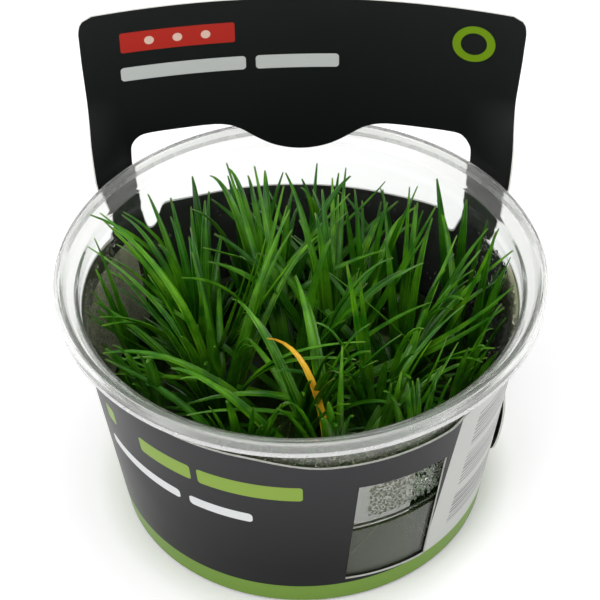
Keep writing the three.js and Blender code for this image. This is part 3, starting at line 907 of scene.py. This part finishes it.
# Leaves. Each rosette is a few crowns that grow together, and each crown lists the leaves that
# stand out, and old ones apart, as (tip x, tip y, tip z, lean, rise, width) in millimetres, with
# a tone from 0, deep, to 1, bright. "filling" is its own number of seeded leaves
rosettes = [
    [
        {
            "place": (-21, 6),
            "leaves": [
                (-41, 18, 57, 0.1, 20, 2.4, 0.8), (-38, -3, 65, 0.2, 25, 2.2, 0.65),
                (-7, -2, 68, 0.6, 18, 2.4, 0.6), (-20, -14, 65, 0.4, 25, 2, 0.75),
                (0, -2, 65, 0.5, 22, 1.4, 1), (-11, -10, 66, 0.5, 20, 1.4, 0.9),
                (11, 24, 58, 0.5, 21, 2.4, 0.45), (19, 17, 48, 0.5, 24, 2, 0.55),
                (-40, -15, 60, 0.4, 26, 3, 0.85), (-43, -13, 60, 0.6, 18, 2.3, 0.2),
            ],
        },
        {
            "place": (-20, 20), "filling": 1,
            "leaves": [(-43, 12, 64, 0.3, 28, 2.2, 0.7), (-37, 20, 58, 0.3, 26, 1.9, 0.5)],
        },
        {"place": (-31, 15), "filling": 1},
        {"place": (-33, -3)},
    ],
    [
        {
            "place": (-17, -10),
            "leaves": [
                (-40, 5, 70, 0.1, 37, 2.8, 0.95), (-44, 10, 57, 0.2, 29, 2.2, 0.6),
                (-30, -11, 67, 0.4, 27, 2.1, 0.3), (-3, 17, 66, 0.5, 20, 2.5, 0.6),
                (-2, 14, 62, 0.3, 27, 2.5, 0.65), (-18, 30, 33, 0.3, 24, 1.6, 0.6),
                (6, 21, 50, 0.6, 34, 1.5, 0.9), (12, -20, 56, 0.1, 24, 2.6, 0.7),
            ],
        },
        {
            "place": (-12, -30),
            "leaves": [(-39, -20, 53, 0.1, 22, 3, 0.1)],
        },
        {"place": (-29, -18)},
    ],
    [
        {
            "place": (-6, 14), "filling": 7,
            "leaves": [
                (-19, 37, 54, 0.5, 37, 2.2, 0.4), (-15, 37, 56, 0.5, 38, 2.1, 0.4),
                (-7, 37, 55, 0.4, 37, 2.2, 0.45), (-24, -5, 61, 0.3, 26, 1.9, 0.55),
            ],
        },
        {
            "place": (-11, 29), "filling": 3,
            "leaves": [(-22, 13, 64, 0.3, 29, 1.9, 0.4), (19, 28, 58, 0.8, 25, 1.8, 0.4)],
        },
        {"place": (2, 27), "filling": 3},
    ],
    [
        {
            "place": (-2, -3),
            "leaves": [
                (-40, 5, 55, 0.5, 19, 2, 0.55), (-15, 28, 64, 0.4, 25, 2, 0.4),
                (-9, 28, 63, 0.4, 26, 2, 0.45), (43, -6, 57, 0.7, 14, 3, 0.5),
                (-38, -21, 50, 0.5, 17, 1.8, 0.65),
            ],
        },
        {
            "place": (7, 4),
            "leaves": [
                (8, 36, 53, 0.4, 25, 2.4, 1), (20, 36, 44, 0.4, 24, 2.4, 0.65),
                (19, 36, 43, 0.3, 24, 2.1, 0.55), (25, 17, 65, 0.5, 21, 1.6, 0.5),
                (28, 8, 67, 0.5, 20, 3, 0.4),
            ],
        },
    ],
    [
        {
            "place": (-1, -19),
            "leaves": [(-40, -17, 52, 0.5, 33, 2.7, 0.75), (8, -43, 62, 0.3, 22, 2.3, 0.55)],
        },
        {
            "place": (6, -32), "old": [(-7, -14, 52, 0.1, 41, 1.7, 0)],
            "leaves": [
                (33, -7, 53, 0.4, 28, 1.8, 0.5), (-1, -2, 58, 0.5, 35, 2.8, 0.65),
                (-26, -25, 55, 0.7, 33, 2.6, 0.75), (-14, -3, 53, 0.7, 36, 2.5, 0.6),
                (-14, 3, 39, 0.5, 23, 1.9, 0.55), (38, -11, 42, 0.3, 28, 2.2, 0.6),
                (29, -31, 65, 0.6, 18, 1.5, 0.4), (7, -35, 69, 0.4, 26, 1.9, 0.55),
            ],
        },
    ],
    [
        {
            "place": (14, 13), "filling": 7,
            "leaves": [(23, 8, 69, 0.3, 28, 2.5, 0.65), (27, 34, 46, 0.1, 32, 2.3, 0.65)],
        },
        {
            "place": (7, 33), "filling": 3,
            "leaves": [(1, 37, 50, 0.3, 27, 2.4, 0.6), (-20, 10, 56, 0.5, 18, 2.1, 0.75)],
        },
        {"place": (23, 27), "filling": 3},
    ],
    [
        {
            "place": (21, -1),
            "leaves": [
                (23, 13, 68, 0.4, 23, 2.4, 0.55), (40, 0, 67, 0.6, 16, 2.1, 0.7),
                (44, 5, 57, 0.1, 18, 3.2, 0.65), (37, -26, 59, 0.5, 25, 2.7, 0.6),
            ],
        },
        {
            "place": (35, -2),
            "leaves": [(31, 31, 50, 0.5, 31, 1.7, 0.5), (6, -5, 61, 0.5, 22, 1.2, 0.6)],
        },
        {"place": (34, 14), "filling": 3},
    ],
    [
        {
            "place": (15, -17),
            "leaves": [
                (32, 3, 63, 0.5, 23, 2.1, 0.6), (38, 10, 53, 0.1, 22, 3.2, 0.3),
                (9, -13, 70, 0.2, 22, 3.4, 0.7), (-26, -19, 38, 0.4, 24, 2.2, 0.5),
                (-23, -31, 48, 0.5, 22, 2.2, 0.45), (24, -31, 66, 0.5, 27, 1.5, 1),
                (27, -31, 67, 0.7, 22, 1.6, 0.4), (18, -38, 65, 0.6, 18, 2.8, 0.5),
            ],
        },
        {
            "place": (22, -29),
            "leaves": [(20, 9, 28, 0.4, 27, 2.5, 0.5)],
        },
        {"place": (30, -16)},
    ],
]
leafShape = {
    "crownZ": 24,
    "ring": 1.7,  # the leaves start on a ring of this radius round the crown's middle
    "steps": 12,
    "foot": 1.08,  # a blade's width at its foot, as a share of the leaf's
    "taper": 0.98,  # the share of its width that a blade loses towards its tip
    "gutter": 0.3,
    "thickness": 0.12,
    "seed": 41,
    "filling": (14, 10),  # seeded leaves of a rosette's first crown, and of each other one
    "low": (24, 22),  # and their short low ones, which cover the gel
    "topZ": 62,  # the seeded leaves stay below this height
    "lowerBack": 0.36,  # and lower by this much for each millimetre towards the back
    "shadedBack": 0.3,  # where their tone falls to this share of it
    "overRim": 54,
    "backY": 36,  # tips over the rim stay in front of the card's header
    "offWall": 2.2,
    "seededRise": (0.65, 1),
    "seededLean": (0.3, 0.5),
}
# Leaves grow in layers, so a drawn leaf from this width on is two narrower ones side by side. The
# rest are shares: of its width, and of its tone for the lower one
layers = {"from": 2.3, "upper": 0.78, "lower": 0.7, "aside": 0.55, "down": 1.5}


# One straight leaf, one unit wide and one long: each leaf of the plants is a bent copy of it
def modelBlade(columns, rows):
    clearSelection()
    bpy.ops.mesh.primitive_grid_add(x_subdivisions=columns, y_subdivisions=rows, size=1)
    blade = bpy.context.object
    blade.name = "bladeModel"
    for vertex in blade.data.vertices:
        along = vertex.co.y + 0.5
        across = vertex.co.x
        width = leafShape["foot"] * (1 - leafShape["taper"] * along**1.5)
        gutter = leafShape["gutter"] * abs(2 * across) ** 1.4
        vertex.co = (across * width, along, gutter * width)
    applyModifier(blade, "SOLIDIFY", thickness=leafShape["thickness"], offset=-1)
    return blade


def bladeArc(place, leaf):
    tip = Vector(leaf[:3])
    lean, rise = leaf[3:5]
    heading = math.atan2(tip.y - place[1], tip.x - place[0])
    ring = leafShape["ring"]
    x = place[0] + ring * math.cos(heading)
    y = place[1] + ring * math.sin(heading)
    root = Vector((x, y, leafShape["crownZ"] - 0.6))
    middle = Vector((mix(root.x, tip.x, lean), mix(root.y, tip.y, lean), root.z + rise))
    return root, middle, tip


# The blade bent along its arc, turned a little about its own length on the way up
def bentBlade(blade, place, leaf, twist):
    root, middle, tip = bladeArc(place, leaf)
    corners = []
    for vertex in blade.data.vertices:
        across, t, out = vertex.co
        centre = root * (1 - t) ** 2 + middle * 2 * t * (1 - t) + tip * t * t
        along = (middle - root) * (1 - t) + (tip - middle) * t
        side = Vector((along.y, -along.x, 0))
        if side.length < 1e-3:
            side = Vector((1, 0, 0))
        side.normalize()
        face = side.cross(along).normalized()
        turn = Matrix.Rotation(twist * t, 3, along.normalized())
        side, face = turn @ side, turn @ face
        corners.append((centre + (side * across + face * out) * leaf[5]) * mm)
    return corners


# Seeded leaves round a crown: how steep they climb in degrees, how long and wide they are in
# millimetres, and their tone. The plant is two tufts, and a crown's leaves fan outwards from the
# middle of its tuft
leafKinds = {
    "filling": {"climb": (30, 78), "length": (28, 46), "width": (1.6, 2.5), "tone": (0, 0.45)},
    "low": {"climb": (4, 34), "length": (8, 18), "width": (1.3, 2.3), "tone": (0, 0.2)},
}
tufts = [(-13, -8), (16, -6)]
fan = {"widest": 150, "narrowest": 42, "fullAt": 16, "towardsFront": 66, "uneven": 0.15}


def seededLeaves(place, kind, count, chance):
    leaves = []
    shape = leafKinds[kind]
    tuft = min(tufts, key=lambda t: math.dist(t, place))
    away = math.dist(tuft, place)
    aim = math.atan2(place[1] - tuft[1], place[0] - tuft[0])
    spread = math.radians(mix(fan["widest"], fan["narrowest"], min(away / fan["fullAt"], 1)))
    for i in range(count):
        aside = chance.uniform(-fan["uneven"], fan["uneven"])
        heading = aim + spread * ((2 * i + 1) / count - 1 + aside)
        climb = chance.uniform(*shape["climb"])
        if kind == "filling" and math.sin(heading) < -0.5:
            climb = max(climb, fan["towardsFront"])
        climb = math.radians(climb)
        length = chance.uniform(*shape["length"])
        reach = length * math.cos(climb)
        topZ = leafShape["topZ"] - leafShape["lowerBack"] * max(place[1], 0)
        z = min(leafShape["crownZ"] + length * math.sin(climb), topZ)
        x = place[0] + reach * math.cos(heading)
        y = place[1] + reach * math.sin(heading)
        inwards = min(1, (cupInnerR(min(z, 50)) - leafShape["offWall"]) / math.hypot(x, y))
        x, y = x * inwards, y * inwards
        if z > leafShape["overRim"]:
            y = min(y, leafShape["backY"])
        rise = (z - leafShape["crownZ"]) * chance.uniform(*leafShape["seededRise"])
        lean = chance.uniform(*leafShape["seededLean"])
        width = chance.uniform(*shape["width"])
        # Painted shade: seeded leaves towards the back get a deeper tone
        shade = mix(1, leafShape["shadedBack"], smooth(place[1] / 25))
        tone = chance.uniform(*shape["tone"]) * shade
        leaves.append((x, y, z, lean, rise, width, tone))
    return leaves


# Tints along a blade: (colour, from and to which share of its length, strength at each)
bladeTints = [
    # Painted shade: the blades are darker green low down, deep in the cup
    ("#0a2604", 0.05, 0.5, 0.7, 0),  # deeper green low down
    ("#a9c47a", 0, 0.05, 0.5, 0),  # a pale base where the blade leaves the crown
    ("#8f9a4c", 0.93, 1, 0, 0.3),  # a dry tip
]


# Living leaf: waxy and a little glossy, lengthwise veins, light through the thin blade
def leafMaterial():
    material, tree, shader = startMaterial(
        "waxyLeaf",
        Specular_IOR_Level=0.34,
        Coat_Weight=0.3,
        Coat_Roughness=0.13,
    )
    blade = addNode(tree, "SeparateXYZ", {0: addNode(tree, "UVMap", uv_map="blade")}).outputs
    tones = addNode(tree, "SeparateXYZ", {0: addNode(tree, "UVMap", uv_map="tone")}).outputs
    # Five veins over a blade 2 mm wide are 0.4 mm apart, coarser than the real ones, to show
    wave = addNode(tree, "Math", {0: blade["X"], 1: 5 * 2 * math.pi}, operation="MULTIPLY")
    veins = addNode(tree, "Math", {0: wave}, operation="COSINE")
    place = addNode(tree, "TexCoord").outputs["Object"]
    patches = addNode(tree, "TexNoise", {"Vector": place, "Scale": 180, "Detail": 3})
    patchy = addNode(tree, "MapRange", {"Value": patches, "From Min": 0.35, "From Max": 0.65})
    deep = inked(tree, linear("#164d03"), linear("#2e8407"), tones["X"])
    bright = inked(tree, linear("#2c7c06"), linear("#84cc1c"), tones["X"])
    colour = inked(tree, deep, bright, patchy)
    span = {"From Min": 0.3, "From Max": 1, "To Max": 0.28}
    veined = addNode(tree, "MapRange", {"Value": veins, **span})
    colour = inked(tree, colour, linear("#66ab30"), veined)
    for tint, start, end, first, last in bladeTints:
        span = {"From Min": start, "From Max": end, "To Min": first, "To Max": last}
        along = addNode(tree, "MapRange", {"Value": blade["Y"], **span})
        colour = inked(tree, colour, linear(tint), along)
    # An old leaf turns orange, and browner in patches
    fadeAndShade = inked(tree, linear("#ffd035"), linear("#f0aa20"), patchy)
    colour = inked(tree, colour, fadeAndShade, tones["Y"])
    rough = addNode(tree, "MapRange", {"Value": patches, "To Min": 0.24, "To Max": 0.42})
    bump = addNode(tree, "Bump", {"Height": veins, "Strength": 0.3, "Distance": 0.00005})
    setInputs(shader, {"Base Color": colour, "Roughness": rough, "Normal": bump})
    through = addNode(tree, "BsdfTranslucent", {"Color": colour, "Normal": bump})
    thin = addNode(tree, "MixShader", {0: 0.22, 1: shader, 2: through})
    setInputs(tree.nodes["Material Output"], {"Surface": thin})
    return material


def modelCrown():
    z = leafShape["crownZ"]
    profile = [(0, 13), (1, 14), (2.2, 19), (2.8, z - 1), (2.1, z + 1.4), (0, z + 2)]
    return turnedPiece("crownModel", profile, 10)


def layered(leaf, place):
    x, y, z, lean, rise, width, tone = leaf
    if width < layers["from"]:
        return [leaf]
    heading = math.atan2(y - place[1], x - place[0])
    shift = layers["aside"] * width
    upper = (x, y, z, lean, rise, layers["upper"] * width, tone)
    x += shift * math.sin(heading) - shift * math.cos(heading)
    y -= shift * math.cos(heading) + shift * math.sin(heading)
    z -= layers["down"] * width
    return [upper, (x, y, z, lean, rise, layers["lower"] * width, layers["lower"] * tone)]


# The leaves of one crown as (blade to bend, leaf, how old): the drawn ones, then the seeded ones
def crownLeaves(crown, first, blades, chance):
    place = crown["place"]
    more = 0 if first else 1
    drawn = [part for leaf in crown.get("leaves", []) for part in layered(leaf, place)]
    count = crown.get("filling", leafShape["filling"][more])
    filling = seededLeaves(place, "filling", count, chance)
    low = seededLeaves(place, "low", leafShape["low"][more], chance)
    leaves = [(blades["long"], leaf, 0) for leaf in drawn]
    leaves += [(blades["long"], leaf, 1) for leaf in crown.get("old", [])]
    leaves += [(blades["long"], leaf, 0) for leaf in filling]
    return leaves + [(blades["short"], leaf, 0) for leaf in low]


# All the leaves and crowns of one rosette as one mesh, with its blade and tone maps
def growRosette(number, rosette, blades, crownModel, material, chance):
    points, faces, bladeMap, toneMap = [], [], [], []
    for crown in rosette:
        place = crown["place"]
        start = len(points)
        points += [v.co + Vector((place[0], place[1], 0)) * mm for v in crownModel.data.vertices]
        faces += [tuple(start + i for i in p.vertices) for p in crownModel.data.polygons]
        bladeMap += [(0.5, 0.1)] * len(crownModel.data.vertices)
        toneMap += [(0.3, 0)] * len(crownModel.data.vertices)
        for blade, leaf, old in crownLeaves(crown, crown is rosette[0], blades, chance):
            start = len(points)
            points += bentBlade(blade, place, leaf, chance.uniform(-0.6, 0.6))
            faces += [tuple(start + i for i in p.vertices) for p in blade.data.polygons]
            bladeMap += [(v.co.x + 0.5, v.co.y) for v in blade.data.vertices]
            toneMap += [(leaf[6], old)] * len(blade.data.vertices)
    piece = pieceFrom(f"rosetteLeaves{number}", points, faces)
    for mapName, values in (("blade", bladeMap), ("tone", toneMap)):
        layer = piece.data.uv_layers.new(name=mapName)
        for loop in piece.data.loops:
            layer.data[loop.index].uv = values[loop.vertex_index]
    smoothShading(piece, 60)
    finishPiece(piece, [material], [f"rosette_{number}"])


def makeRosettes():
    chance = random.Random(leafShape["seed"])
    blades = {"long": modelBlade(4, leafShape["steps"]), "short": modelBlade(2, 5)}
    crownModel = modelCrown()
    material = leafMaterial()
    for number, rosette in enumerate(rosettes, 1):
        growRosette(number, rosette, blades, crownModel, material, chance)
    for model in (*blades.values(), crownModel):
        bpy.data.objects.remove(model, do_unlink=True)


makeRosettes()
print("rosettes grown")


# Condensation: beads of water on the inside of the wall, by angle from the front towards the right
beadShape = {
    "seed": 7,
    "height": 0.95,  # of a bead, as a share of its radius
    "offWall": 0.11,  # how far its middle stands off the wall, as a share too
    "apart": 0.92,
    "fields": [
        # name, angles, heights, sizes, tries
        ("window", (17, 44), (26.5, 39.5), (0.15, 0.5), 1500),
        ("gelEdge", (12, 40), (23.7, 24.1), (0.12, 0.3), 300),
        ("underRim", (-95, 95), (46, 50.4), (0.2, 0.8), 700),
        ("leftWall", (-118, -60), (28, 50.2), (0.2, 0.7), 1100),
        ("rightWall", (55, 118), (24, 49.5), (0.16, 0.5), 1200),
        ("backWall", (122, 238), (28, 42.5), (0.15, 0.45), 220),
    ],
}


def modelBead():
    clearSelection()
    bpy.ops.mesh.primitive_uv_sphere_add(segments=8, ring_count=5, radius=1, enter_editmode=True)
    bpy.ops.mesh.select_all(action="SELECT")
    bpy.ops.mesh.bisect(plane_co=(0, 0, -0.15), plane_no=(0, 0, 1), use_fill=True, clear_inner=True)
    turnFacesOut()
    return bpy.context.object


# The large beads come first, and the small ones fall into the gaps between them
def beadPlaces(chance):
    places = []
    for _, angles, heights, sizes, tries in beadShape["fields"]:
        kept = []
        for size in sorted((mix(*sizes, chance.random() ** 2) for _ in range(tries)), reverse=True):
            front = chance.uniform(*angles)
            z = chance.uniform(*heights)
            spot = (math.radians(front) * cupInnerR(z), z)
            apart = beadShape["apart"]
            if all(math.dist(spot, other) > apart * (size + near) for other, near in kept):
                kept.append((spot, size))
                places.append((front, z, size))
    return places


# Condensed water: clear, wet and perfectly smooth, so that each bead glints; its small white share
# is a painted glint that shows each bead pale on the dark inside
def beadWater():
    return startMaterial(
        "waterBeads",
        Base_Color=linear("#f4f6ee"),
        Transmission_Weight=0.96,
        IOR=1.33,
        Roughness=0,
    )[0]


def makeCondensation():
    chance = random.Random(beadShape["seed"])
    bead = modelBead()
    points, faces = [], []
    for front, z, size in beadPlaces(chance):
        angle = math.radians(front)
        r = cupInnerR(z) + 0.02
        start = len(points)
        stretch = chance.uniform(0.85, 1.2)
        for vertex in bead.data.vertices:
            across, up, out = vertex.co
            depth = r - (out * beadShape["height"] + beadShape["offWall"]) * size
            a = angle + across * size / r
            height = z + up * size * stretch
            points.append(Vector((depth * math.sin(a), -depth * math.cos(a), height)) * mm)
        faces += [tuple(start + i for i in p.vertices) for p in bead.data.polygons]
    bpy.data.objects.remove(bead, do_unlink=True)
    piece = pieceFrom("condensation", points, faces)
    pick(piece)
    bpy.ops.object.mode_set(mode="EDIT")
    turnFacesOut()
    smoothShading(piece, 60)
    finishPiece(piece, [beadWater()])


makeCondensation()
print("condensation placed")


# Roots: pale threads that run from each rosette's first crown down into the gel
rootShape = {
    "seed": 19,
    "perRosette": 7,
    "thickness": 0.22,
    "reach": (4, 13),
    "depth": (8, 16),
    "topZ": 19,
    "wander": 0.9,
    "withinR": 37.5,
}


def makeRoots():
    chance = random.Random(rootShape["seed"])
    curve = bpy.data.curves.new("roots", "CURVE")
    curve.dimensions = "3D"
    curve.bevel_depth = rootShape["thickness"] * mm
    curve.bevel_resolution = 1
    curve.resolution_u = 3
    for rosette in rosettes:
        x, y = rosette[0]["place"]
        for _ in range(rootShape["perRosette"]):
            heading = chance.uniform(0, 2 * math.pi)
            reach = chance.uniform(*rootShape["reach"])
            depth = chance.uniform(*rootShape["depth"])
            spline = curve.splines.new("NURBS")
            spline.points.add(5)
            spline.use_endpoint_u = True
            for i, point in enumerate(spline.points):
                t = i / 5
                wander = rootShape["wander"] * t
                px = x + reach * t**1.3 * math.cos(heading) + chance.uniform(-wander, wander)
                py = y + reach * t**1.3 * math.sin(heading) + chance.uniform(-wander, wander)
                inwards = min(1, rootShape["withinR"] / max(math.hypot(px, py), 1)) * mm
                point.co = (px * inwards, py * inwards, (rootShape["topZ"] - depth * t) * mm, 1)
                point.radius = 1 - 0.5 * t
    roots = bpy.data.objects.new("roots", curve)
    bpy.context.collection.objects.link(roots)
    pick(roots)
    bpy.ops.object.convert(target="MESH")
    roots = bpy.context.object
    smoothShading(roots, 60)
    pale, tree, shader = startMaterial("paleRoot", Roughness=0.5)
    place = addNode(tree, "TexCoord").outputs["Object"]
    spots = addNode(tree, "TexNoise", {"Vector": place, "Scale": 500, "Detail": 2})
    setInputs(shader, {"Base Color": inked(tree, linear("#cfd2a8"), linear("#f1efdc"), spots)})
    finishPiece(roots, [pale])


makeRoots()
print("roots made")


# Studio: a pale floor, a soft pale room that is brighter along its walls, and soft lights
studio = {
    "horizon": 0.82,
    "zenith": 0.57,
    "floorSide": 6,
    "floorGlow": 0.3,  # keeps the floor white while the object is lit softly
    "glowFrom": (0.037, 0.047),  # but not under the cup and beside its foot, as on a real table
    "lights": [
        # name, place in metres, side in metres, power in watts
        ("keySoftbox", (-0.5, -0.5, 0.9), 0.6, 3.8),
        ("fillSoftbox", (0.7, -0.3, 0.6), 0.6, 1),
        ("topSoftbox", (0.05, 0.1, 1.1), 0.8, 2.6),
    ],
}


def makeStudio():
    world = bpy.data.worlds.new("studioRoom")
    bpy.context.scene.world = world
    world.use_nodes = True
    room = world.node_tree
    heading = addNode(room, "SeparateXYZ", {0: addNode(room, "TexCoord").outputs["Generated"]})
    span = {"From Max": 0.3, "To Min": studio["horizon"], "To Max": studio["zenith"]}
    level = addNode(room, "MapRange", {"Value": heading.outputs["Z"], **span})
    setInputs(room.nodes["Background"], {"Color": (1, 1, 1, 1), "Strength": level})
    for name, place, side, power in studio["lights"]:
        light = bpy.data.lights.new(name, "AREA")
        light.size = side
        light.energy = power
        lamp = bpy.data.objects.new(name, light)
        bpy.context.collection.objects.link(lamp)
        lamp.location = place
        lamp.rotation_euler = Vector(place).to_track_quat("Z", "Y").to_euler()
    clearSelection()
    bpy.ops.mesh.primitive_plane_add(size=studio["floorSide"])
    floor = bpy.context.object
    floor.name = "studioFloor"
    paper, tree, shader = startMaterial("floorPaper", Roughness=0.9, Specular_IOR_Level=0.1)
    place = addNode(tree, "TexCoord").outputs["Object"]
    out = addNode(tree, "VectorMath", {0: place}, operation="LENGTH").outputs["Value"]
    start, end = studio["glowFrom"]
    span = {"From Min": start, "From Max": end, "To Max": studio["floorGlow"]}
    glow = addNode(tree, "MapRange", {"Value": out, **span})
    white = {"Base Color": linear("#f7f7f7"), "Emission Color": (1, 1, 1, 1)}
    setInputs(shader, {**white, "Emission Strength": glow})
    floor.data.materials.append(paper)
    bpy.context.scene.view_settings.view_transform = "Standard"


makeStudio()
print("studio set")
